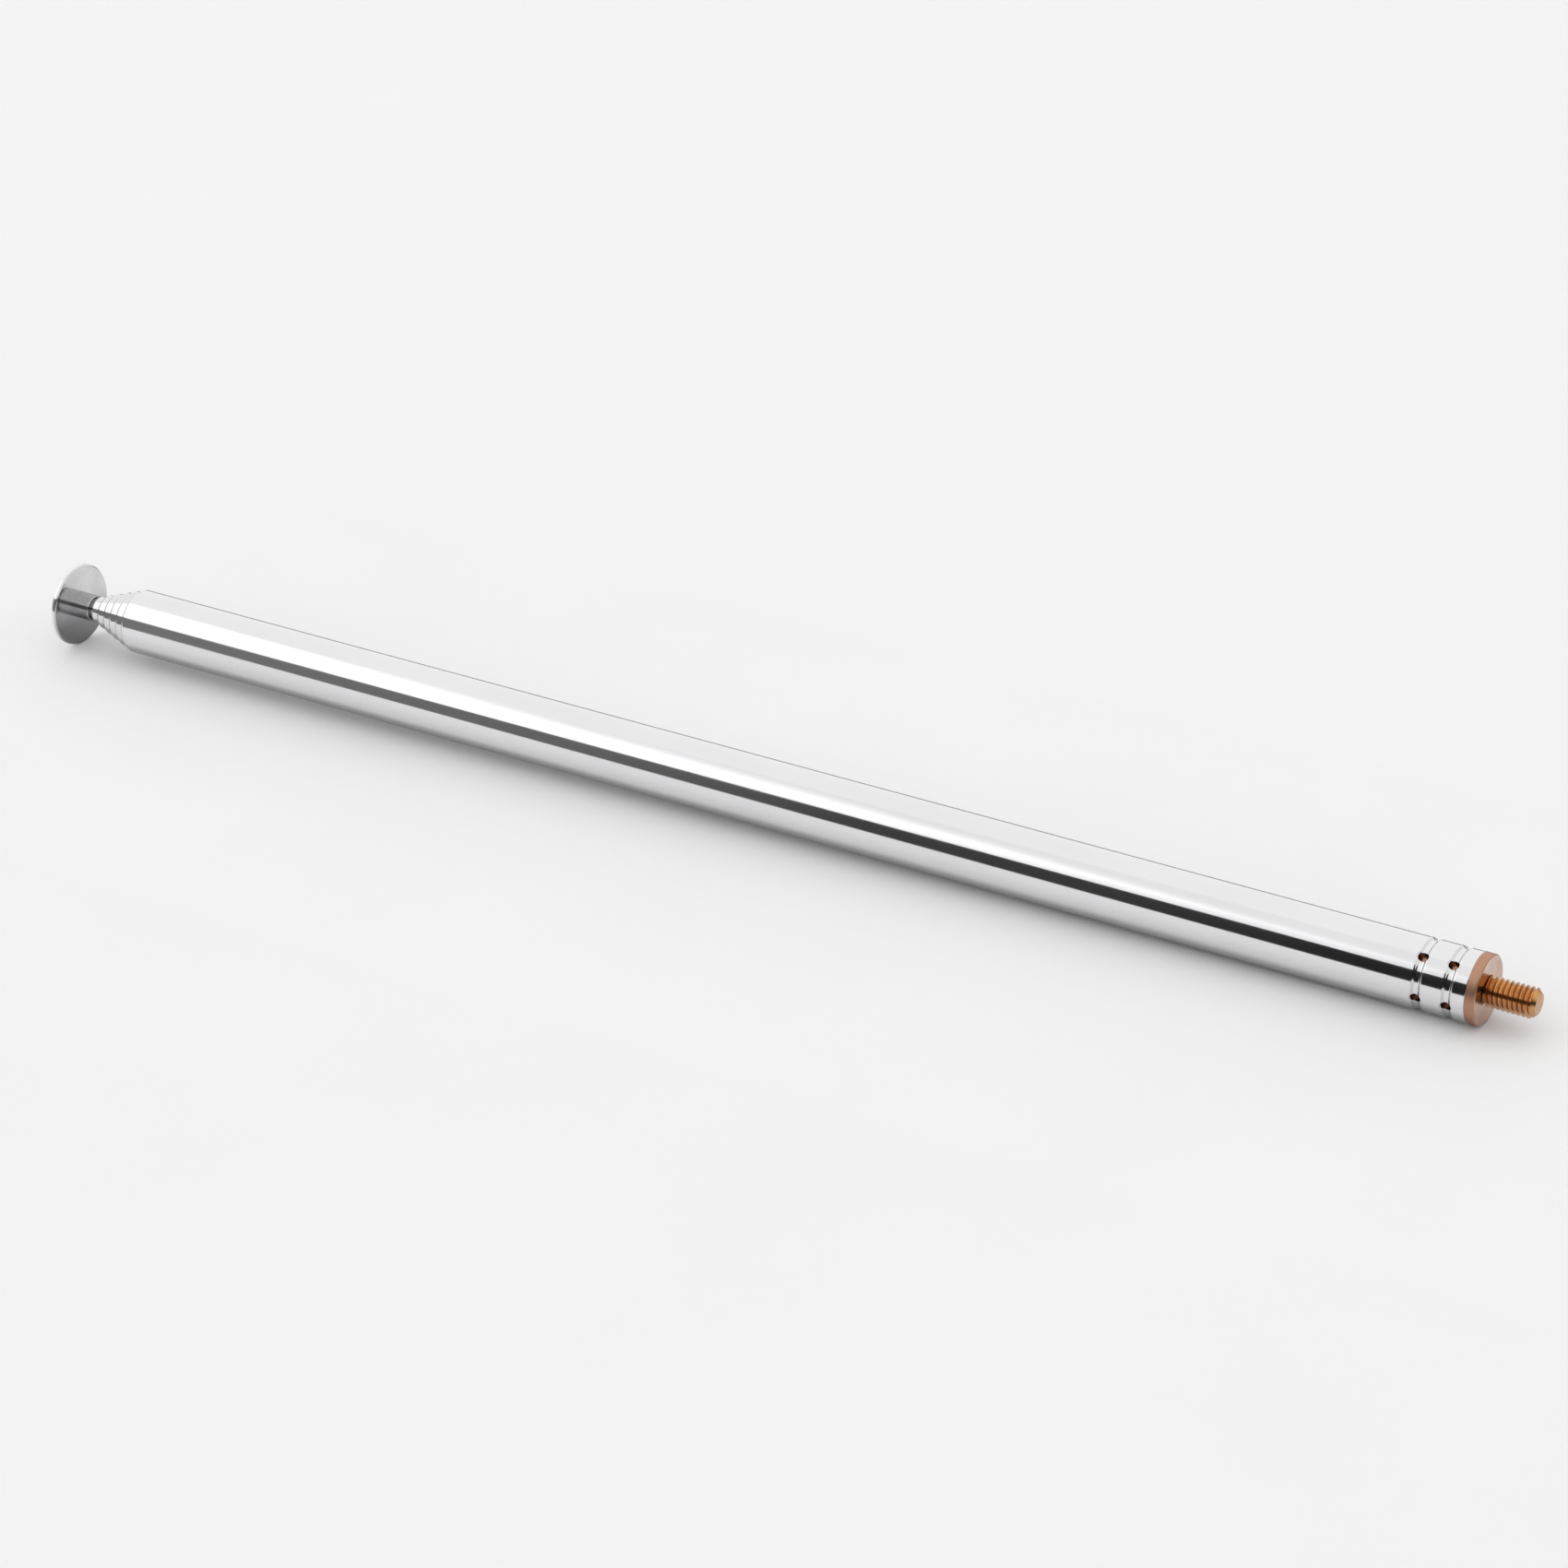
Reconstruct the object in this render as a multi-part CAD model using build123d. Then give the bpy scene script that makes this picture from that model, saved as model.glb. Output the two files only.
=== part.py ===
"""Telescopic rod antenna, pushed fully in, with a threaded stud at its base.

All sizes are in millimetres. The rod lies along X. The origin is the centre of the plug
flange's front face, where the part that the stud screws into seats. The stud points along
+X and the tip along -X, and +Z is up. A station is a distance from the origin towards the
tip, so it counts along -X.
"""

import os
from math import cos, pi, radians, sin, sqrt, tan

from build123d import *

# sections: six tubes and a solid tip rod, each one step thinner than the one around it
outer_tube_diameter = 7.0
diameter_step = 0.8
tube_count = 6
wall_thickness = 0.25
running_clearance = 0.03

# outer tube
flange_thickness = 1.0
outer_tube_straight = 156.75
nose_pitch = 1.155
base_edge_radius = 0.08

# rolled grooves and punched holes that lock the plug in the outer tube
groove_offsets = (1.83, 4.88)
groove_width = 1.1
groove_depth = 0.2
punches_per_groove = 5
first_punch_elevation = 55.5
punch_mouth_diameter = 1.04
punch_tip_diameter = 0.5
punch_depth = 0.65

# base plug
flange_diameter = 6.96
flange_edge_radius = 0.22
plug_length = 7.0
plug_lead_in = 0.3
relief_diameter = 3.2
relief_depth = 0.3

# threaded stud: M3 coarse thread
thread_diameter = 3.0
thread_pitch = 0.5
thread_turns = 9
stud_length = 5.0
thread_angle = 60.0
shank_diameter = 2.6
shank_length = 5.0

# feet of the inner sections
foot_flange_thickness = 0.8
foot_spigot_length = 1.2
foot_vent_diameter = 0.8
foot_edge = 0.1
rest_gap = 0.05

# contact sleeves and the beads that hold them down
sleeve_clearance = 0.02
sleeve_length = 6.0
sleeve_split_width = 0.5
sleeve_window_width = 0.35
sleeve_window_length = 4.0
sleeve_window_count = 5
bead_height = 0.1
bead_width = 0.8

# tip rod and button
rod_tail_diameter = 1.4
rod_spigot_diameter = 1.5
rod_spigot_length = 1.5
button_diameter = 9.0
button_offset = 165.3
button_rim_thickness = 0.6
button_edge_radius = 0.22
button_dome_height = 0.45
boss_diameter = 2.9
boss_length = 2.05
boss_edge_radius = 0.12

# sizes that follow from the ones above
radius_step = diameter_step / 2
section_gap = radius_step - wall_thickness
nose_radius = radius_step - running_clearance
foot_height = foot_flange_thickness + foot_spigot_length
button_underside = flange_thickness + button_offset
groove_arc_radius = (groove_width**2 / 4 + groove_depth**2) / (2 * groove_depth)
groove_arc_height = groove_arc_radius - groove_depth
thread_depth = 5 / 8 * thread_pitch * sin(radians(thread_angle))
thread_crest = thread_pitch / 8
thread_flank = thread_depth * tan(radians(thread_angle / 2))


def section_radius(number):
    """Outside radius of a section, where 1 is the outer tube and tube_count + 1 the rod."""
    return outer_tube_diameter / 2 - (number - 1) * radius_step


def bore_radius(number):
    """Inside radius of a tube."""
    return section_radius(number) - wall_thickness


def nose_station(number):
    """Where a tube's straight wall ends and its rolled nose begins."""
    return flange_thickness + outer_tube_straight + (number - 1) * nose_pitch


def foot_station(number):
    """Where the foot of an inner section ends when the rod is pushed in."""
    plug_end = flange_thickness + plug_length
    return plug_end + rest_gap + (number - 2) * (foot_height + rest_gap)


def sleeve_station(number):
    """Lower end of the contact sleeve on an inner section."""
    return foot_station(number) + foot_flange_thickness + rest_gap


def bead_station(number):
    """Middle of the bead that holds the contact sleeve down."""
    return sleeve_station(number) + sleeve_length + rest_gap + bead_width / 2


def turned(outline):
    """Solid turned about X from outline edges whose points are (station, radius)."""
    return Rot(0, 0, 180) * revolve(make_face(outline), Axis.X)


def closed(*points):
    """Straight edges through the points and back to the first one."""
    return Polyline(*points, close=True)


def quarter_arc(centre, radius, start_angle):
    """A quarter circle, counted anticlockwise in the (station, radius) plane."""
    return CenterArc(centre, radius, start_angle, 90)


def rippled_wall(radius, start, stop, ripples):
    """Edges of a straight wall with an arc at each (middle, half width, height) ripple."""
    edges = []
    station = start
    for middle, half_width, height in ripples:
        rise = (middle - half_width, radius)
        crown = (middle, radius + height)
        fall = (middle + half_width, radius)
        edges.append(Line((station, radius), rise))
        edges.append(ThreePointArc(rise, crown, fall))
        station = middle + half_width
    edges.append(Line((station, radius), (stop, radius)))
    return edges


def groove_ripples(depth_behind):
    """The two rolled grooves, on a surface that lies this far behind the tube's outside."""
    arc_radius = groove_arc_radius + depth_behind
    half_width = sqrt(arc_radius**2 - (groove_arc_height + depth_behind) ** 2)
    return [
        (flange_thickness + offset, half_width, -groove_depth) for offset in groove_offsets
    ]


def nosed_tube(number, base, edge_radius, outside_ripples, inside_ripples):
    """A tube whose far end is rolled inwards round the next section."""
    outside = section_radius(number)
    inside = bore_radius(number)
    nose = nose_station(number)
    lip = outside - nose_radius
    curl = nose_radius - wall_thickness
    outline = rippled_wall(outside, base + edge_radius, nose, outside_ripples)
    outline += rippled_wall(inside, base, nose, inside_ripples)
    outline.append(quarter_arc((nose, lip), nose_radius, 0))
    outline.append(quarter_arc((nose, lip), curl, 0))
    outline.append(Line((nose + curl, lip), (nose + nose_radius, lip)))
    outline.append(Line((base, inside), (base, outside - edge_radius)))
    if edge_radius:
        corner = (base + edge_radius, outside - edge_radius)
        outline.append(quarter_arc(corner, edge_radius, 90))
    return turned(outline)


def radial_cone(station, elevation):
    """The punch: a cone that points at the rod's axis from the side of -Y, this far above it."""
    mouth = section_radius(1)
    cone = Cone(punch_tip_diameter / 2, punch_mouth_diameter / 2, punch_depth)
    standing = Pos(0, 0, mouth - punch_depth / 2) * cone
    return Pos(-station, 0, 0) * Rot(90 - elevation, 0, 0) * standing


def punched(shape):
    """The shape with the punch marks of both grooves cut into it."""
    for offset in groove_offsets:
        for mark in range(punches_per_groove):
            elevation = first_punch_elevation + mark * 360 / punches_per_groove
            shape -= radial_cone(flange_thickness + offset, elevation)
    return shape


def make_outer_tube():
    """Outer tube with its rolled nose, two rolled grooves and ten punched holes."""
    outside = groove_ripples(0)
    inside = groove_ripples(wall_thickness)
    tube = nosed_tube(1, flange_thickness, base_edge_radius, outside, inside)
    return punched(tube)


def make_base_plug():
    """Turned plug: a flange outside the tube and a grooved body inside it, bored for the stud
    and relieved round its thread."""
    flange = flange_diameter / 2
    body = bore_radius(1)
    bore = shank_diameter / 2
    relief = relief_diameter / 2
    end = flange_thickness + plug_length
    edge = flange_edge_radius
    outline = rippled_wall(body, flange_thickness, end - plug_lead_in, groove_ripples(wall_thickness))
    outline.append(quarter_arc((edge, flange - edge), edge, 90))
    outline.append(Line((edge, flange), (flange_thickness, flange)))
    outline.append(Line((flange_thickness, flange), (flange_thickness, body)))
    outline.append(Line((end - plug_lead_in, body), (end, body - plug_lead_in)))
    outline.append(Line((end, body - plug_lead_in), (end, 0)))
    outline.append(Line((end, 0), (shank_length, 0)))
    outline.append(Line((shank_length, 0), (shank_length, bore)))
    outline.append(Line((shank_length, bore), (relief_depth, bore)))
    outline.append(Line((relief_depth, bore), (relief_depth, relief)))
    outline.append(Line((relief_depth, relief), (0, relief)))
    outline.append(Line((0, relief), (0, flange - edge)))
    return punched(turned(outline))


def make_threaded_stud():
    """Stud with its thread in front of the flange and a plain shank pressed into the plug."""
    crest = thread_diameter / 2
    root = crest - thread_depth
    shank = shank_diameter / 2
    points = [(shank_length, 0), (shank_length, shank), (0, shank), (0, crest)]
    for turn in range(thread_turns):
        crest_end = -turn * thread_pitch - thread_crest
        groove_end = -(turn + 1) * thread_pitch
        points.append((crest_end, crest))
        points.append((crest_end - thread_flank, root))
        points.append((groove_end + thread_flank, root))
        points.append((groove_end, crest))
    last_crest = -thread_turns * thread_pitch - thread_crest
    chamfer = stud_length + last_crest
    points.append((last_crest, crest))
    points.append((-stud_length, crest - chamfer))
    points.append((-stud_length, 0))
    return turned(closed(*points))


def make_inner_tube(number):
    """One of the inner tubes, with a rolled nose and the bead above its contact sleeve."""
    base = foot_station(number) + foot_flange_thickness
    bead = [(bead_station(number), bead_width / 2, bead_height)]
    return nosed_tube(number, base, 0, bead, bead)


def make_tube_foot(number):
    """Turned foot: a flange that guides in the tube around, and a spigot in its own tube."""
    guide = bore_radius(number - 1) - running_clearance
    spigot = bore_radius(number)
    vent = foot_vent_diameter / 2
    base = foot_station(number)
    shoulder = base + foot_flange_thickness
    end = base + foot_height
    points = [
        (base, vent),
        (base, guide - foot_edge),
        (base + foot_edge, guide),
        (shoulder - foot_edge, guide),
        (shoulder, guide - foot_edge),
        (shoulder, spigot),
        (end - foot_edge, spigot),
        (end, spigot - foot_edge),
        (end, vent),
    ]
    return turned(closed(*points))


def make_contact(number):
    """Split spring sleeve between an inner section and the tube around it."""
    inside = section_radius(number) + sleeve_clearance
    outside = bore_radius(number - 1) - sleeve_clearance
    base = sleeve_station(number)
    end = base + sleeve_length
    middle = base + sleeve_length / 2
    sleeve = turned(closed((base, inside), (base, outside), (end, outside), (end, inside)))
    pitch = 360 / (sleeve_window_count + 1)
    reach = 2 * outside
    split = Box(2 * sleeve_length, sleeve_split_width, reach)
    window = Box(sleeve_window_length, sleeve_window_width, reach)
    sleeve -= Pos(-middle, 0, 0) * Pos(0, 0, reach / 2) * split
    for count in range(sleeve_window_count):
        turn = Rot((count + 1) * pitch, 0, 0)
        sleeve -= Pos(-middle, 0, 0) * turn * Pos(0, 0, reach / 2) * window
    return sleeve


def make_tip_rod():
    """Solid rod with a thin tail for its foot, a bead, and a spigot for the button."""
    number = tube_count + 1
    body = section_radius(number)
    tail = rod_tail_diameter / 2
    spigot = rod_spigot_diameter / 2
    base = foot_station(number)
    shoulder = base + foot_flange_thickness
    neck = button_underside - boss_length / 2
    end = neck + rod_spigot_length
    bead = [(bead_station(number), bead_width / 2, bead_height)]
    outline = rippled_wall(body, shoulder, neck, bead)
    outline.append(Line((base, 0), (base, tail)))
    outline.append(Line((base, tail), (shoulder, tail)))
    outline.append(Line((shoulder, tail), (shoulder, body)))
    outline.append(Line((neck, body), (neck, spigot)))
    outline.append(Line((neck, spigot), (end, spigot)))
    outline.append(Line((end, spigot), (end, 0)))
    outline.append(Line((end, 0), (base, 0)))
    return turned(outline)


def make_rod_foot():
    """Collar pressed on the rod's thin tail."""
    number = tube_count + 1
    guide = bore_radius(number - 1) - running_clearance
    bore = rod_tail_diameter / 2
    base = foot_station(number)
    shoulder = base + foot_flange_thickness
    points = [
        (base, bore),
        (base, guide - foot_edge),
        (base + foot_edge, guide),
        (shoulder - foot_edge, guide),
        (shoulder, guide - foot_edge),
        (shoulder, bore),
    ]
    return turned(closed(*points))


def make_tip_button():
    """Round button with a boss on its underside, a rounded rim and a shallow domed top."""
    rim = button_diameter / 2
    edge = button_edge_radius
    boss = boss_diameter / 2
    boss_edge = boss_edge_radius
    rod = section_radius(tube_count + 1)
    spigot = rod_spigot_diameter / 2
    under = button_underside
    boss_end = under - boss_length
    neck = under - boss_length / 2
    hole_end = neck + rod_spigot_length
    top = under + button_rim_thickness
    crown = rim - edge
    dome_radius = (crown**2 + button_dome_height**2) / (2 * button_dome_height)
    half_way = (top + button_dome_height - dome_radius + sqrt(dome_radius**2 - crown**2 / 4), crown / 2)
    outline = [
        Line((boss_end, rod), (boss_end, boss - boss_edge)),
        CenterArc((boss_end + boss_edge, boss - boss_edge), boss_edge, 90, 90),
        Line((boss_end + boss_edge, boss), (under, boss)),
        Line((under, boss), (under, crown)),
        CenterArc((under + edge, crown), edge, 90, 90),
        Line((under + edge, rim), (top - edge, rim)),
        CenterArc((top - edge, crown), edge, 0, 90),
        ThreePointArc((top, crown), half_way, (top + button_dome_height, 0)),
        Line((top + button_dome_height, 0), (hole_end, 0)),
        Line((hole_end, 0), (hole_end, spigot)),
        Line((hole_end, spigot), (neck, spigot)),
        Line((neck, spigot), (neck, rod)),
        Line((neck, rod), (boss_end, rod)),
    ]
    return turned(outline)


def make_parts():
    """Every piece of the antenna by name."""
    parts = {
        "outer_tube": make_outer_tube(),
        "base_plug": make_base_plug(),
        "threaded_stud": make_threaded_stud(),
    }
    for number in range(2, tube_count + 1):
        parts[f"tube_{number}"] = make_inner_tube(number)
        parts[f"tube_{number}_foot"] = make_tube_foot(number)
        parts[f"tube_{number}_contact"] = make_contact(number)
    parts["tip_rod"] = make_tip_rod()
    parts["tip_rod_foot"] = make_rod_foot()
    parts["tip_rod_contact"] = make_contact(tube_count + 1)
    parts["tip_button"] = make_tip_button()
    return parts


os.makedirs("parts", exist_ok=True)
for name, shape in make_parts().items():
    export_step(shape, f"parts/{name}.step")
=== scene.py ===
"""Looks of a telescopic rod antenna, pushed fully in and lying on a pale floor."""

import math

import bmesh
import bpy
from mathutils import Matrix, Vector


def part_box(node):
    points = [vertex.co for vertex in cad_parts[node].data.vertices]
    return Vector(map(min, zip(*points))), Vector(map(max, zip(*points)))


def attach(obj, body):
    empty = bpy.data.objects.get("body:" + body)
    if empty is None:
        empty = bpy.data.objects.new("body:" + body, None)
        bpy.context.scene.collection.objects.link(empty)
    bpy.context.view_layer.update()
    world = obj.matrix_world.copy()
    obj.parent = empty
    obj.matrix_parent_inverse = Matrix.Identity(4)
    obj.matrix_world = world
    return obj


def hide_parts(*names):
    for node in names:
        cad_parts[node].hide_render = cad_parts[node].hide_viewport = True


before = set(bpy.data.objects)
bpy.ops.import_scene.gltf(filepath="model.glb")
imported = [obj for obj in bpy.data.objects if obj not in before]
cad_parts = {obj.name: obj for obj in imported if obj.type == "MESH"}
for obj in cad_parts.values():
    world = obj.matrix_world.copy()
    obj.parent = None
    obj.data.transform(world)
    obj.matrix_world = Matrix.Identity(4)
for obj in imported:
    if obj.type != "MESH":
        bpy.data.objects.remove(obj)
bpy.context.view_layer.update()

MM = 0.001
AROUND = 256
GUARD = 0.02 * MM

# sizes of the turned and rolled shapes, as in the CAD source
TUBE_RADIUS = 3.5 * MM
SECTION_STEP = 0.4 * MM
WALL = 0.25 * MM
NOSE_RADIUS = 0.37 * MM
BASE_EDGE = 0.08 * MM
GROOVE_OFFSETS = (1.83 * MM, 4.88 * MM)
GROOVE_HALF_WIDTH = 0.55 * MM
GROOVE_DEPTH = 0.2 * MM
PUNCH_COUNT = 5
PUNCH_ELEVATION = 55.5
PUNCH_MOUTH = 0.52 * MM
PUNCH_TIP = 0.25 * MM
PUNCH_DEPTH = 0.65 * MM
PUNCH_ROUNDING = 0.05 * MM
PUNCH_FROM = 3.4 * MM
FLANGE_RADIUS = 3.48 * MM
FLANGE_EDGE = 0.22 * MM
PLUG_LEAD_IN = 0.3 * MM
PLUG_RADIUS = TUBE_RADIUS - WALL
THREAD_PITCH = 0.5 * MM
THREAD_RADIUS = 1.5 * MM
THREAD_END = 4.5625 * MM
SHANK_RADIUS = 1.3 * MM
SHANK_LENGTH = 5 * MM
BEAD_HEIGHT = 0.1 * MM
BEAD_HALF_WIDTH = 0.4 * MM
BEAD_ABOVE_BASE = 6.5 * MM
ROD_RADIUS = 1.1 * MM
ROD_FOOT = 0.8 * MM
ROD_TAIL = 0.7 * MM
ROD_SPIGOT = 0.75 * MM
ROD_SPIGOT_LENGTH = 1.5 * MM
BUTTON_EDGE = 0.22 * MM
BUTTON_RIM = 0.6 * MM
BUTTON_DOME = 0.45 * MM
BOSS_RADIUS = 1.45 * MM
BOSS_LENGTH = 2.05 * MM
BOSS_EDGE = 0.12 * MM


# ---------------------------------------------------------------- mesh code


def arc(centre, radius, start, stop, steps=12):
    """Points (x, r) on a circle, from one angle to another in degrees."""
    points = []
    for step in range(steps + 1):
        angle = math.radians(start + (stop - start) * step / steps)
        x = centre[0] + radius * math.cos(angle)
        points.append((x, centre[1] + radius * math.sin(angle)))
    return points


def bow(middle, half_width, radius, height, direction, steps=16):
    """Points of a shallow arc that rises or sinks from a wall; direction is its travel in x."""
    size = (half_width**2 + height**2) / (2 * abs(height))
    sign = math.copysign(1, height)
    points = []
    for step in range(steps + 1):
        offset = half_width * (2 * step / steps - 1)
        lift = math.sqrt(size**2 - offset**2) - (size - abs(height))
        points.append((middle + direction * offset, radius + sign * lift))
    return points


def rolled(middle, radius, direction, steps=32):
    """Points of a rolled groove: a narrow flat bottom between two soft shoulders.
    The plain wall beside it has points too, so that the punched holes cut only small faces."""
    flat = 0.3
    margins = [1.6, 1.45, 1.3, 1.15]
    points = [(middle - direction * margin * GROOVE_HALF_WIDTH, radius) for margin in margins]
    for step in range(steps + 1):
        offset = 2 * step / steps - 1
        share = max(0.0, (abs(offset) - flat) / (1 - flat))
        sink = 1 - share * share * (3 - 2 * share)
        points.append((middle + direction * offset * GROOVE_HALF_WIDTH, radius - GROOVE_DEPTH * sink))
    points += [(middle + direction * margin * GROOVE_HALF_WIDTH, radius) for margin in reversed(margins)]
    return points


def behind_groove():
    """Half the groove's width on the surface that lies one wall thickness behind it."""
    size = (GROOVE_HALF_WIDTH**2 + GROOVE_DEPTH**2) / (2 * GROOVE_DEPTH)
    return math.sqrt((size + WALL) ** 2 - (size + WALL - GROOVE_DEPTH) ** 2)


def guarded(points):
    """The outline with a point just inside both ends of every long straight part."""
    kept = [points[0]]
    for here, there in zip(points, points[1:]):
        dx, dr = there[0] - here[0], there[1] - here[1]
        length = math.hypot(dx, dr)
        if length > 8 * GUARD:
            share = GUARD / length
            kept.append((here[0] + dx * share, here[1] + dr * share))
            kept.append((there[0] - dx * share, there[1] - dr * share))
        kept.append(there)
    return kept


def finished(name, build, sharp=35):
    """A mesh object made of a bmesh, with smooth faces and sharp edges where it turns."""
    bmesh.ops.remove_doubles(build, verts=build.verts, dist=1e-8)
    bmesh.ops.recalc_face_normals(build, faces=build.faces)
    mesh = bpy.data.meshes.new(name)
    build.to_mesh(mesh)
    build.free()
    mesh.polygons.foreach_set("use_smooth", [True] * len(mesh.polygons))
    mesh.set_sharp_from_angle(angle=math.radians(sharp))
    made = bpy.data.objects.new(name, mesh)
    bpy.context.scene.collection.objects.link(made)
    return made


def lathe(name, outline, ring=False, around=AROUND):
    """Turns an outline of (x, r) about X. A ring's outline closes on itself."""
    points = guarded(outline + outline[:1] if ring else outline)
    build = bmesh.new()
    rows = []
    for x, radius in points:
        if radius < 1e-9:
            rows.append([build.verts.new((x, 0, 0))] * around)
            continue
        row = []
        for count in range(around):
            angle = 2 * math.pi * count / around
            row.append(build.verts.new((x, radius * math.cos(angle), radius * math.sin(angle))))
        rows.append(row)
    for first, second in zip(rows, rows[1:]):
        for count in range(around):
            after = (count + 1) % around
            corners = [first[count], first[after], second[after], second[count]]
            corners = list(dict.fromkeys(corners))
            if len(corners) > 2:
                build.faces.new(corners)
    return finished(name, build)


def cut(target, cutter):
    """Cuts one mesh out of another and removes the cutter."""
    step = target.modifiers.new("cut", "BOOLEAN")
    step.operation = "DIFFERENCE"
    step.solver = "EXACT"
    step.object = cutter
    bpy.context.view_layer.update()
    graph = bpy.context.evaluated_depsgraph_get()
    made = bpy.data.meshes.new_from_object(target.evaluated_get(graph))
    target.modifiers.clear()
    target.data = made
    made.set_sharp_from_angle(angle=math.radians(35))
    bpy.data.objects.remove(cutter)


def punches(name, groove_x, surface):
    """One mesh of all the punch cones, standing on the tube's surface and pointing inwards."""
    build = bmesh.new()
    outline = [(0, 0), (0, PUNCH_TIP)]
    outline.append((PUNCH_DEPTH, PUNCH_MOUTH))
    outline.append((PUNCH_DEPTH + PUNCH_ROUNDING, PUNCH_MOUTH + 2 * PUNCH_ROUNDING))
    outline.append((PUNCH_DEPTH + 6 * PUNCH_ROUNDING, PUNCH_MOUTH + 2 * PUNCH_ROUNDING))
    outline.append((PUNCH_DEPTH + 6 * PUNCH_ROUNDING, 0))
    cone = lathe("cone", outline, around=64)
    for x in groove_x:
        for mark in range(PUNCH_COUNT):
            elevation = math.radians(PUNCH_ELEVATION + mark * 360 / PUNCH_COUNT)
            outward = Vector((0, -math.cos(elevation), math.sin(elevation)))
            along = Vector((1, 0, 0))
            turn = Matrix((outward, along, outward.cross(along))).transposed().to_4x4()
            move = Matrix.Translation(Vector((x, 0, 0)) + outward * (surface - PUNCH_DEPTH))
            copy = cone.data.copy()
            copy.transform(move @ turn)
            build.from_mesh(copy)
            bpy.data.meshes.remove(copy)
    bpy.data.objects.remove(cone)
    return finished(name, build)


# ---------------------------------------------------------------- procedural materials


class Paint:
    """A node material whose pieces are added one line at a time."""

    def __init__(self, name):
        self.material = bpy.data.materials.new(name)
        self.material.use_nodes = True
        self.nodes = self.material.node_tree.nodes
        self.shader = self.nodes["Principled BSDF"]
        self.place = self.add("ShaderNodeTexCoord").outputs["Object"]

    def add(self, kind, **settings):
        node = self.nodes.new(kind)
        for key, value in settings.items():
            setattr(node, key, value)
        return node

    def link(self, output, socket):
        self.material.node_tree.links.new(output, socket)

    def stretched(self, scale):
        """Object coordinates scaled by three numbers."""
        node = self.add("ShaderNodeMapping")
        node.inputs["Scale"].default_value = scale
        self.link(self.place, node.inputs["Vector"])
        return node.outputs["Vector"]

    def noise(self, scale, detail=3.0, roughness=0.5, stretch=(1, 1, 1), distortion=0.0):
        node = self.add("ShaderNodeTexNoise")
        node.inputs["Scale"].default_value = scale
        node.inputs["Detail"].default_value = detail
        node.inputs["Roughness"].default_value = roughness
        node.inputs["Distortion"].default_value = distortion
        self.link(self.stretched(stretch), node.inputs["Vector"])
        return node.outputs["Fac"]

    def ramp(self, value, stops):
        """A colour ramp through (position, grey or colour) stops."""
        node = self.add("ShaderNodeValToRGB")
        elements = node.color_ramp.elements
        while len(elements) < len(stops):
            elements.new(0.5)
        for element, (position, colour) in zip(elements, stops):
            rgb = colour if isinstance(colour, tuple) else (colour,) * 3
            element.position = position
            element.color = (*rgb, 1)
        self.link(value, node.inputs["Fac"])
        return node.outputs["Color"]

    def blend(self, factor, first, second):
        """A mix of two colours, by a number or by another node's value."""
        node = self.add("ShaderNodeMix", data_type="RGBA")
        if isinstance(factor, float):
            node.inputs["Factor"].default_value = factor
        else:
            self.link(factor, node.inputs["Factor"])
        for socket, value in ((6, first), (7, second)):
            if isinstance(value, tuple):
                node.inputs[socket].default_value = (*value, 1)
            else:
                self.link(value, node.inputs[socket])
        return node.outputs[2]

    def maths(self, how, first, second=None):
        node = self.add("ShaderNodeMath", operation=how)
        for socket, value in enumerate((first, second)):
            if isinstance(value, (int, float)):
                node.inputs[socket].default_value = value
            elif value is not None:
                self.link(value, node.inputs[socket])
        return node.outputs[0]

    def spread(self, value, low, high):
        """The value from 0..1 to low..high."""
        node = self.add("ShaderNodeMapRange")
        node.inputs["To Min"].default_value = low
        node.inputs["To Max"].default_value = high
        self.link(value, node.inputs["Value"])
        return node.outputs["Result"]

    def parts(self, source):
        """The three parts of a vector, by axis."""
        node = self.add("ShaderNodeSeparateXYZ")
        self.link(source, node.inputs[0])
        return node.outputs

    def outwardness(self):
        """1 where the surface faces away from the rod's axis, 0 where it runs along a radius."""
        facing = self.parts(self.nodes["Texture Coordinate"].outputs["Normal"])
        here = self.parts(self.place)
        y = self.maths("MULTIPLY", facing["Y"], here["Y"])
        z = self.maths("MULTIPLY", facing["Z"], here["Z"])
        return self.maths("DIVIDE", self.maths("ADD", y, z), self.from_axis())

    def between(self, value, start, stop):
        """0 at start and before it, 1 at stop and past it, smooth in between."""
        node = self.add("ShaderNodeMapRange", interpolation_type="SMOOTHSTEP")
        node.inputs["From Min"].default_value = start
        node.inputs["From Max"].default_value = stop
        self.link(value, node.inputs["Value"])
        return node.outputs["Result"]

    def bump(self, height, strength, distance):
        node = self.add("ShaderNodeBump")
        node.inputs["Strength"].default_value = strength
        node.inputs["Distance"].default_value = distance
        self.link(height, node.inputs["Height"])
        self.link(node.outputs["Normal"], self.shader.inputs["Normal"])

    def along(self, axis="X"):
        """Position along one axis."""
        return self.parts(self.place)[axis]

    def from_axis(self):
        """Distance from the rod's axis."""
        here = self.parts(self.place)
        y = self.maths("POWER", here["Y"], 2)
        z = self.maths("POWER", here["Z"], 2)
        return self.maths("SQRT", self.maths("ADD", y, z))

    def matt(self, shade, roughness=0.9, shine=0.0):
        """The finished material of a matt sheet in this shade."""
        self.link(shade, self.shader.inputs["Base Color"])
        self.shader.inputs["Roughness"].default_value = roughness
        self.shader.inputs["Specular IOR Level"].default_value = shine
        return self.material


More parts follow.
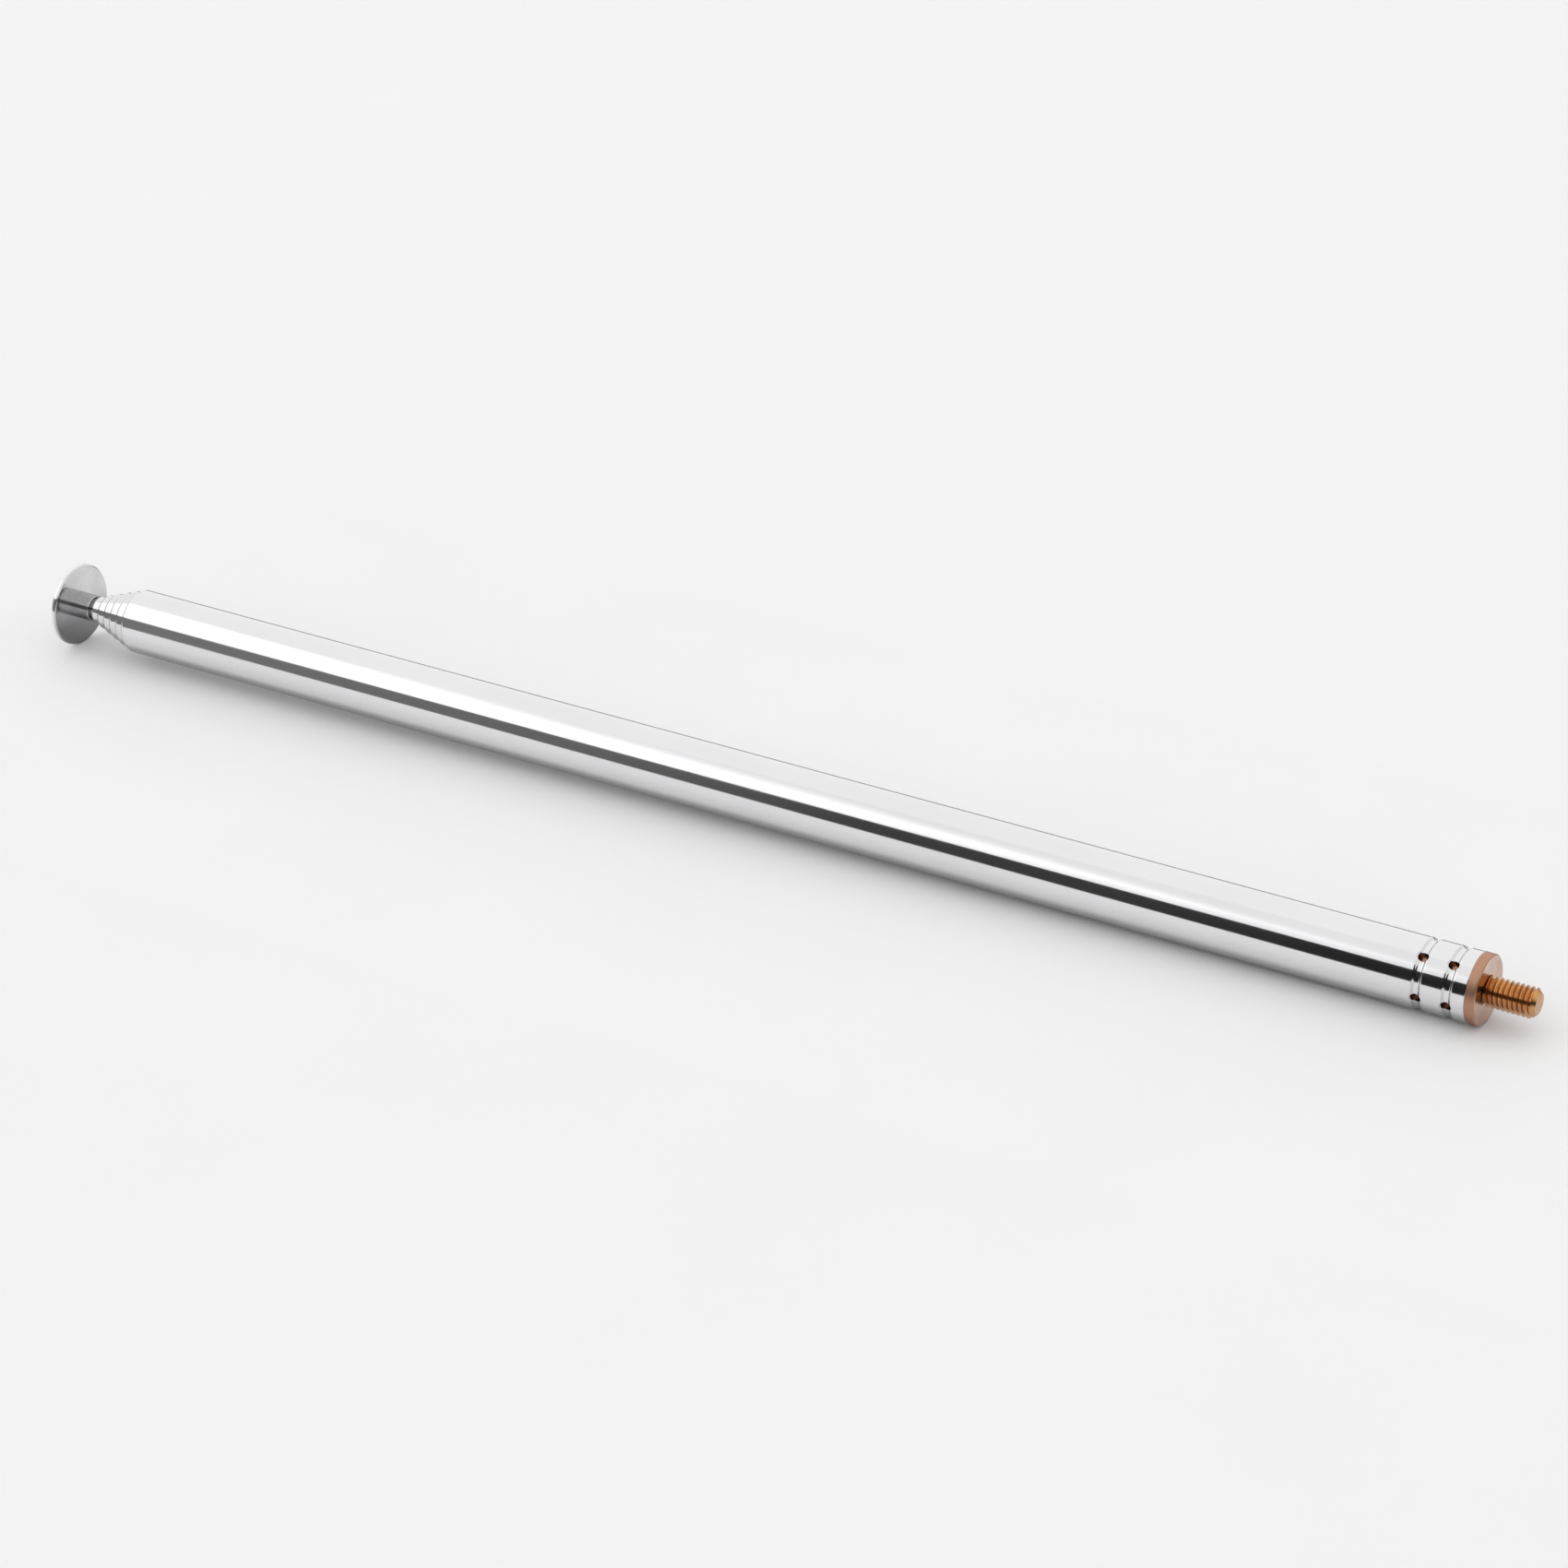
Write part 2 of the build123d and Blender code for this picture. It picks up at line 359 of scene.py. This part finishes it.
def chrome(name, tint, wear, lip=None, hole_walls=False, underside=None):
    """Polished plate: faint rubbing along the rod, finger smudges and a few dark specks.
    Painted shade darkens the plate towards a lip, where the gap lies in shadow; groove shoulders near the
    base are darkened as painted shade, and hole walls are unplated and painted dark as the shade inside
    the holes. Past underside in x the boss is painted a darker grey and the lower side darker, as painted
    shade, with random dark blotches as painted reflection."""
    paint = Paint(name)
    paint.shader.inputs["Metallic"].default_value = 1.0
    smudge = paint.noise(90, 4, 0.6, (0.5, 1, 1), 0.4)
    rubbed = paint.noise(1400, 2, 0.5, (0.04, 1, 1))
    specks = paint.noise(1900, 2, 0.5)
    clean = paint.ramp(smudge, [(0.35, tint), (0.7, tuple(c * 0.96 for c in tint))])
    pits = paint.ramp(specks, [(0.76, 0.0), (0.82, 1.0)])
    dull = tuple(c * 0.6 for c in tint)
    colour = paint.blend(pits, clean, dull)
    if lip is not None:
        # painted shade: darker towards the lip, where the gap beside the next part lies in shadow
        lip_shade = paint.between(paint.along(), lip + 0.26 * MM, lip + 0.06 * MM)
        lip_shade = paint.maths("MULTIPLY", lip_shade, paint.spread(smudge, 0.5, 1.0))
        colour = paint.blend(lip_shade, colour, (0.2, 0.195, 0.19))
    if hole_walls:
        outward = paint.outwardness()
        steep = paint.maths("LESS_THAN", paint.maths("ABSOLUTE", outward), 0.62)
        near_base = paint.maths("GREATER_THAN", paint.along(), -8 * MM)
        # painted shade: the groove shoulders near the base are darkened to stand in for their dark
        # reflections
        shoulder = paint.maths("MULTIPLY", paint.between(outward, 0.985, 0.86), near_base)
        shoulder = paint.maths("MULTIPLY", shoulder, paint.spread(smudge, 0.15, 0.5))
        colour = paint.blend(shoulder, colour, (0.36, 0.35, 0.34))
        # the unplated hole walls are painted dark brown as painted shade inside the holes
        off_edge = paint.maths("LESS_THAN", paint.along(), -1.5 * MM)
        unplated_and_shaded = paint.maths("MULTIPLY", steep, paint.maths("MULTIPLY", near_base, off_edge))
        colour = paint.blend(unplated_and_shaded, colour, (0.19, 0.125, 0.105))
    if underside is not None:
        # painted shade: the boss past the underside is painted a darker grey
        below = paint.maths("GREATER_THAN", paint.along(), underside)
        boss_shade = paint.maths("LESS_THAN", paint.from_axis(), BOSS_RADIUS + GUARD)
        boss_shade = paint.maths("MULTIPLY", boss_shade, below)
        colour = paint.blend(boss_shade, colour, (0.46, 0.455, 0.45))
        # painted shade: the underside is darker towards its lower side
        low_side_shade = paint.between(paint.along("Z"), 0.8 * MM, -2.2 * MM)
        low_side_shade = paint.maths("MULTIPLY", low_side_shade, below)
        colour = paint.blend(paint.maths("MULTIPLY", low_side_shade, 0.8), colour, (0.33, 0.33, 0.34))
        # painted reflection: random dark blotches on the underside stand in for its patchy reflections
        mottled_reflection = paint.spread(paint.noise(380, 3, 0.5, (1, 1, 1), 0.5), 0.0, 0.75)
        colour = paint.blend(paint.maths("MULTIPLY", mottled_reflection, below), colour, (0.42, 0.42, 0.43))
    paint.link(colour, paint.shader.inputs["Base Color"])
    film = paint.spread(smudge, 0.035, 0.035 + 0.08 * wear)
    marks = paint.spread(rubbed, 0.0, 0.05 * wear)
    rough = paint.maths("ADD", paint.maths("ADD", film, marks), paint.maths("MULTIPLY", pits, 0.25))
    paint.link(rough, paint.shader.inputs["Roughness"])
    uneven = paint.maths("ADD", rubbed, paint.maths("MULTIPLY", pits, -0.6))
    paint.bump(uneven, 0.05 * wear, 0.02 * MM)
    return paint.material


def turned_metal(name, light, dark, rough, ring_spacing, stain, shaded_below=None, rim=None, under=None):
    """Turned brass or copper: fine rings from the tool, tarnish in patches, small dark pits.
    Below a given x the metal is painted darker, as painted shade where it shows through the punched holes;
    outside the rim radius it is darker; its lower side is painted towards the under colour, as painted
    shade and reflection."""
    paint = Paint(name)
    paint.shader.inputs["Metallic"].default_value = 1.0
    tarnish = paint.noise(420, 5, 0.6, (1, 1, 1), 0.6)
    fine = paint.noise(2600, 3, 0.6)
    body = paint.ramp(tarnish, [(0.3, light), (0.72, dark)])
    pits = paint.ramp(fine, [(0.66, 0.0), (0.74, 1.0)])
    colour = paint.blend(pits, body, stain)
    if under is not None:
        # painted shade: the lower side is painted towards the under colour
        painted_lower_side = paint.maths("MULTIPLY", paint.between(paint.along("Z"), 0.6 * MM, -0.6 * MM), 0.75)
        colour = paint.blend(painted_lower_side, colour, under)
    if rim is not None:
        outside = paint.between(paint.from_axis(), rim - 0.08 * MM, rim)
        colour = paint.blend(outside, colour, paint.blend(0.85, colour, (0.47, 0.25, 0.16)))
    if shaded_below is not None:
        # painted shade: the metal inside the tube, seen through the holes, is painted darker
        inside_shade = paint.maths("LESS_THAN", paint.along(), shaded_below)
        colour = paint.blend(inside_shade, colour, paint.blend(0.6, body, stain))
    paint.link(colour, paint.shader.inputs["Base Color"])
    wander = paint.maths("MULTIPLY", fine, ring_spacing * 0.8)
    radial = paint.maths("ADD", paint.from_axis(), wander)
    rings = paint.maths("SINE", paint.maths("MULTIPLY", radial, 2 * math.pi / ring_spacing))
    grain = paint.maths("ADD", paint.maths("MULTIPLY", rings, 0.35), fine)
    roughness = paint.spread(tarnish, rough, rough + 0.12)
    if rim is not None:
        roughness = paint.maths("ADD", roughness, paint.maths("MULTIPLY", outside, 0.3))
    paint.link(roughness, paint.shader.inputs["Roughness"])
    paint.bump(grain, 0.3, 0.008 * MM)
    return paint.material


def paper(name, colour):
    """Matt paper with a faint grain."""
    paint = Paint(name)
    grain = paint.noise(30, 4)
    shade = paint.ramp(grain, [(0.3, colour), (0.7, tuple(c * 0.985 for c in colour))])
    return paint.matt(shade, 0.8, 0.2)


outer_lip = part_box("outer_tube")[0].x
# painted shade at the lip, on the groove shoulders and in the holes
outer_chrome = chrome("outer_chrome", (0.8, 0.8, 0.81), 1.0, lip=outer_lip, hole_walls=True)
# painted shade on the rod's neck past the last section's lip, where it lies in shadow
rod_chrome = chrome("rod_chrome", (0.76, 0.76, 0.77), 0.9, lip=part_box("tube_6")[0].x)
button_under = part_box("tip_button")[1].x - BOSS_LENGTH
# painted shade and painted reflection on the button's boss and underside
button_chrome = chrome(
    "button_chrome", (0.86, 0.86, 0.87), 1.6, underside=button_under - BUTTON_EDGE)
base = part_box("outer_tube")[1].x
# painted shade: the plug is painted darker inside the tube, where it shows through the holes
plug_copper = turned_metal(
    "plug_copper", (0.7, 0.48, 0.385), (0.47, 0.29, 0.22), 0.09, 0.06 * MM, (0.16, 0.08, 0.05),
    shaded_below=base, rim=3.4 * MM)
# painted shade: the stud's lower side is painted in the under colour
stud_brass = turned_metal(
    "stud_brass", (0.72, 0.39, 0.13), (0.48, 0.23, 0.1), 0.16, 0.08 * MM, (0.12, 0.05, 0.02),
    under=(0.5, 0.28, 0.17))
foot_brass = turned_metal(
    "foot_brass", (0.8, 0.55, 0.22), (0.66, 0.42, 0.16), 0.25, 0.08 * MM, (0.3, 0.18, 0.07))
spring_bronze = turned_metal(
    "spring_bronze", (0.7, 0.42, 0.24), (0.55, 0.3, 0.16), 0.3, 0.1 * MM, (0.2, 0.1, 0.05))


def place(piece, node, body, material):
    """Puts a piece in the place of a CAD node."""
    piece.data.materials.clear()
    piece.data.materials.append(material)
    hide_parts(node)
    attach(piece, body)


# ---------------------------------------------------------------- pieces


def nosed_outline(node, edge, bows):
    """Outline of a tube with a rolled nose."""
    low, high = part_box(node)
    number = 1 if node == "outer_tube" else int(node.split("_")[1])
    outside = TUBE_RADIUS - SECTION_STEP * (number - 1)
    inside = outside - WALL
    base = high.x
    nose = low.x + NOSE_RADIUS
    lip = outside - NOSE_RADIUS
    curl = NOSE_RADIUS - WALL
    outline = [(base, inside)]
    outline += arc((base - edge, outside - edge), edge, 0, 90, 6) if edge else [(base, outside)]
    for middle, half_width, height in bows:
        if height < 0:
            outline += rolled(middle, outside, -1)
        else:
            outline += bow(middle, half_width, outside, height, -1)
    outline += arc((nose, lip), NOSE_RADIUS, 90, 180, 18)
    outline += arc((nose, lip), curl, 180, 90, 8)
    for middle, half_width, height in reversed(bows):
        behind = behind_groove() if height < 0 else half_width
        outline += bow(middle, behind, inside, height, 1)
    return outline


grooves = [base - offset for offset in GROOVE_OFFSETS]
tube = lathe("outer_tube_fine", nosed_outline(
    "outer_tube", BASE_EDGE, [(x, GROOVE_HALF_WIDTH, -GROOVE_DEPTH) for x in grooves]), ring=True)
cut(tube, punches("tube_punches", grooves, PUNCH_FROM))
place(tube, "outer_tube", "base", outer_chrome)

for number in range(2, 7):
    node = f"tube_{number}"
    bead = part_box(node)[1].x - BEAD_ABOVE_BASE
    outline = nosed_outline(node, 0, [(bead, BEAD_HALF_WIDTH, BEAD_HEIGHT)])
    section = lathe(f"{node}_fine", outline, ring=True)
    # painted shade at each section's lip
    skin = chrome(f"{node}_chrome", (0.76, 0.76, 0.77), 0.7, lip=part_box(node)[0].x)
    place(section, node, f"section_{number}", skin)


def plug_outline():
    """The flange with its rounded edge, and the grooved body with a bore for the stud's shank."""
    low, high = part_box("base_plug")
    bore_end = high.x - SHANK_LENGTH
    body = PLUG_RADIUS
    outline = [(bore_end, 0), (bore_end, SHANK_RADIUS), (high.x, SHANK_RADIUS)]
    outline += arc((high.x - FLANGE_EDGE, FLANGE_RADIUS - FLANGE_EDGE), FLANGE_EDGE, 0, 90)
    outline += [(base, FLANGE_RADIUS), (base, body)]
    for x in grooves:
        outline += bow(x, behind_groove(), body, -GROOVE_DEPTH, -1)
    outline += [(low.x + PLUG_LEAD_IN, body), (low.x, body - PLUG_LEAD_IN), (low.x, 0)]
    return outline


plug = lathe("base_plug_fine", plug_outline())
cut(plug, punches("plug_punches", grooves, PUNCH_FROM))
place(plug, "base_plug", "base", plug_copper)


def thread_depth(share):
    """How far below the crest a V thread is at this share of a pitch, where 0 is mid crest."""
    full = 5 / 8 * THREAD_PITCH * math.sin(math.radians(60))
    crest_half, root_half = 1 / 16, 1 / 8
    away = min(share % 1, 1 - share % 1)
    if away < crest_half:
        return 0.0
    if away > 0.5 - root_half:
        return full
    return full * (away - crest_half) / (0.5 - root_half - crest_half)


def threaded_stud(name):
    """A right-hand helical thread with a chamfered end, and the plain shank inside the plug."""
    low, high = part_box("threaded_stud")
    marks = [step / 16 for step in range(16)]
    turns = round(high.x / THREAD_PITCH) + 2
    around = 160
    build = bmesh.new()
    rows = []
    for turn in range(-1, turns):
        for mark in marks:
            row = []
            for count in range(around + 1):
                share = count / around
                x = (turn + mark + share) * THREAD_PITCH
                inside = min(max(x, 0), high.x)
                phase = inside / THREAD_PITCH - share
                radius = THREAD_RADIUS - thread_depth(phase)
                radius = min(radius, THREAD_RADIUS - (inside - THREAD_END))
                angle = 2 * math.pi * share
                row.append(build.verts.new((inside, radius * math.cos(angle), radius * math.sin(angle))))
            rows.append(row)
    for first, second in zip(rows, rows[1:]):
        for count in range(around):
            corners = [first[count], first[count + 1], second[count + 1], second[count]]
            if len({tuple(round(c, 9) for c in v.co) for v in corners}) > 2:
                build.faces.new(corners)
    bmesh.ops.remove_doubles(build, verts=build.verts, dist=1e-7)
    loose = [v for v in build.verts if not v.link_faces]
    bmesh.ops.delete(build, geom=loose, context="VERTS")
    rims = [e for e in build.edges if e.is_boundary]
    bmesh.ops.holes_fill(build, edges=rims, sides=0)
    bmesh.ops.triangulate(build, faces=[f for f in build.faces if len(f.verts) > 4])
    stud = finished(name, build, sharp=25)
    shank = lathe("shank", [(low.x, 0), (low.x, SHANK_RADIUS), (0, SHANK_RADIUS), (0, 0)], around=96)
    joined = bmesh.new()
    joined.from_mesh(stud.data)
    joined.from_mesh(shank.data)
    bpy.data.objects.remove(stud)
    bpy.data.objects.remove(shank)
    return finished(name, joined, sharp=25)


place(threaded_stud("threaded_stud_fine"), "threaded_stud", "base", stud_brass)


def rod_outline():
    """The rod with its thin tail, bead and button spigot."""
    low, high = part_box("tip_rod")
    body = ROD_RADIUS
    shoulder = high.x - ROD_FOOT
    neck = low.x + ROD_SPIGOT_LENGTH
    outline = [(high.x, 0), (high.x, ROD_TAIL), (shoulder, ROD_TAIL), (shoulder, body)]
    outline += bow(shoulder - BEAD_ABOVE_BASE, BEAD_HALF_WIDTH, body, BEAD_HEIGHT, -1)
    outline += [(neck, body), (neck, ROD_SPIGOT), (low.x, ROD_SPIGOT), (low.x, 0)]
    return outline


place(lathe("tip_rod_fine", rod_outline()), "tip_rod", "tip", rod_chrome)


def button_outline():
    """The boss, flat underside, rounded rim and shallow dome, with the hole for the rod."""
    low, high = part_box("tip_button")
    rim = high.z
    crown = rim - BUTTON_EDGE
    under = high.x - BOSS_LENGTH
    top = under - BUTTON_RIM
    neck = high.x - BOSS_LENGTH / 2
    hole = neck - ROD_SPIGOT_LENGTH
    size = (crown**2 + BUTTON_DOME**2) / (2 * BUTTON_DOME)
    spread = math.degrees(math.asin(crown / size))
    outline = [(hole, 0), (hole, ROD_SPIGOT), (neck, ROD_SPIGOT), (neck, ROD_RADIUS), (high.x, ROD_RADIUS)]
    outline += arc((high.x - BOSS_EDGE, BOSS_RADIUS - BOSS_EDGE), BOSS_EDGE, 0, 90, 6)
    outline += [(under, BOSS_RADIUS)]
    outline += arc((under - BUTTON_EDGE, crown), BUTTON_EDGE, 0, 90)
    outline += arc((top + BUTTON_EDGE, crown), BUTTON_EDGE, 90, 180)
    outline += arc((low.x + size, 0), size, 180 - spread, 180, 24)[1:]
    return outline


place(lathe("tip_button_fine", button_outline()), "tip_button", "tip", button_chrome)

for node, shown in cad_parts.items():
    for ending, metal in (("_foot", foot_brass), ("_contact", spring_bronze)):
        if node.endswith(ending):
            shown.data.materials.clear()
            shown.data.materials.append(metal)


# ---------------------------------------------------------------- floor, light and camera


def sheet_of(name, corners, material):
    """A flat staged panel through its corners."""
    mesh = bpy.data.meshes.new(name)
    mesh.from_pydata(corners, [], [tuple(range(len(corners)))])
    made = bpy.data.objects.new(name, mesh)
    bpy.context.scene.collection.objects.link(made)
    mesh.materials.append(material)
    return made


def reflected_card(name, corners, material):
    """A panel that is seen in reflections only."""
    card = sheet_of(name, corners, material)
    card.visible_camera = False
    card.visible_diffuse = False
    card.visible_shadow = False


button_low, button_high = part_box("tip_button")
tube_low, tube_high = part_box("outer_tube")
rest_x = button_high.x - BOSS_LENGTH - BUTTON_RIM / 2
slope = (tube_low.z - button_low.z) / (tube_high.x - rest_x)
FLOOR_REACH = 12.0
FLOOR_WHITE = (0.86, 0.86, 0.86)


def floor_height(x):
    return tube_low.z + (x - tube_high.x) * slope


def on_floor(x_low, x_high, half_width, lift=0.0):
    """The corners of a rectangle that lies on the floor."""
    corners = ((x_low, -1), (x_high, -1), (x_high, 1), (x_low, 1))
    return [(x, side * half_width, floor_height(x) + lift) for x, side in corners]


sheet_of("floor", on_floor(-FLOOR_REACH, FLOOR_REACH, FLOOR_REACH), paper("pale_paper", FLOOR_WHITE))


def card_paper():
    """Black paper that fades to grey towards the tip end."""
    paint = Paint("dark_card_paper")
    share = paint.maths("DIVIDE", paint.maths("ADD", paint.along(), 0.186), 0.161)
    stops = [(0.0, 0.21), (0.2, 0.185), (0.42, 0.15), (0.63, 0.06), (0.83, 0.045), (1.0, 0.02)]
    return paint.matt(paint.ramp(share, stops))


CARD_AWAY = 0.044
CARD_REACH = 3
CARD_FOOT = -0.02
card_tops = [(CARD_REACH, 0.0275), (0.07, 0.0275), (0.068, 0.05), (0.004, 0.05), (0, 0.0272)]
card_tops += [(-0.02, 0.0266), (-0.186, 0.0221), (-CARD_REACH, 0.0215)]
card_edge = [(-CARD_REACH, CARD_FOOT), (CARD_REACH, CARD_FOOT)] + card_tops
reflected_card("dark_card", [(x, -CARD_AWAY, z) for x, z in card_edge], card_paper())

SIDE_AWAY = 0.035
side_edge = [(-CARD_AWAY, CARD_FOOT), (0.06, CARD_FOOT), (0.06, 0.009), (-CARD_AWAY, 0.012)]
reflected_card("side_card", [(SIDE_AWAY, y, z) for y, z in side_edge], card_paper())

BACK_TOP = 0.0045
back_edge = [(-CARD_REACH, CARD_FOOT), (CARD_REACH, CARD_FOOT), (CARD_REACH, BACK_TOP),
             (-CARD_REACH, BACK_TOP)]
reflected_card(
    "back_card", [(x, CARD_AWAY, z) for x, z in back_edge], paper("grey_card_paper", (0.3, 0.3, 0.3)))


def shadow_strip_paper():
    """Floor paper with a painted shadow, grey under the rod."""
    paint = Paint("shadow_strip_paper")
    under = paint.between(paint.along("Y"), -4.6 * MM, -2.3 * MM)
    return paint.matt(paint.blend(under, FLOOR_WHITE, (0.55, 0.55, 0.55)))


# painted shadow under the rod, seen in the rod's reflections only
reflected_card("floor_shadow_strip", on_floor(-1.2, 0, 6 * MM, 0.02 * MM), shadow_strip_paper())


def softbox_glow():
    """Light cloth, brightest along its middle and fading towards the stud end."""
    paint = Paint("softbox_cloth")
    paint.shader.inputs["Base Color"].default_value = (0, 0, 0, 1)
    paint.shader.inputs["Specular IOR Level"].default_value = 0.0
    off_middle = paint.maths("ABSOLUTE", paint.maths("SUBTRACT", paint.along("Z"), 0.82))
    half = paint.maths("MULTIPLY", paint.maths("ADD", paint.along(), 0.4), -0.75)
    inside = paint.maths("SUBTRACT", half, off_middle)
    share = paint.maths("ADD", paint.maths("MULTIPLY", inside, 4.0), 0.5)
    glow = paint.ramp(share, [(0.0, 0.72), (0.45, 0.84), (0.8, 1.0)])
    paint.link(glow, paint.shader.inputs["Emission Color"])
    paint.shader.inputs["Emission Strength"].default_value = 1.35
    return paint.material


BOX_LIFT = math.radians(56)
BOX_AWAY = 1.1
BOX_HALF = 0.585
box_corners = []
for x, side in ((-2.2, -1), (0.5, -1), (0.5, 1), (-2.2, 1)):
    y = -BOX_AWAY * math.cos(BOX_LIFT) + side * BOX_HALF * math.sin(BOX_LIFT)
    z = BOX_AWAY * math.sin(BOX_LIFT) + side * BOX_HALF * math.cos(BOX_LIFT)
    box_corners.append((x, y, z))
softbox = sheet_of("softbox", box_corners, softbox_glow())
softbox.visible_camera = False

world = bpy.data.worlds.new("studio")
world.use_nodes = True
world.node_tree.nodes["Background"].inputs["Color"].default_value = (1, 1, 1, 1)
world.node_tree.nodes["Background"].inputs["Strength"].default_value = 1.04
bpy.context.scene.world = world
bpy.context.scene.view_settings.view_transform = "Standard"

camera_data = bpy.data.cameras.new("camera")
camera_data.lens = 99.8
camera_data.sensor_width = 36
camera_data.clip_start = 0.01
camera = bpy.data.objects.new("camera", camera_data)
camera.location = Vector((base, 0, 0)) + Vector((125.86, -333.03, 198.56)) * MM
camera.rotation_euler = (math.radians(90 - 26.87), 0, math.radians(31.1))
bpy.context.scene.collection.objects.link(camera)
bpy.context.scene.camera = camera
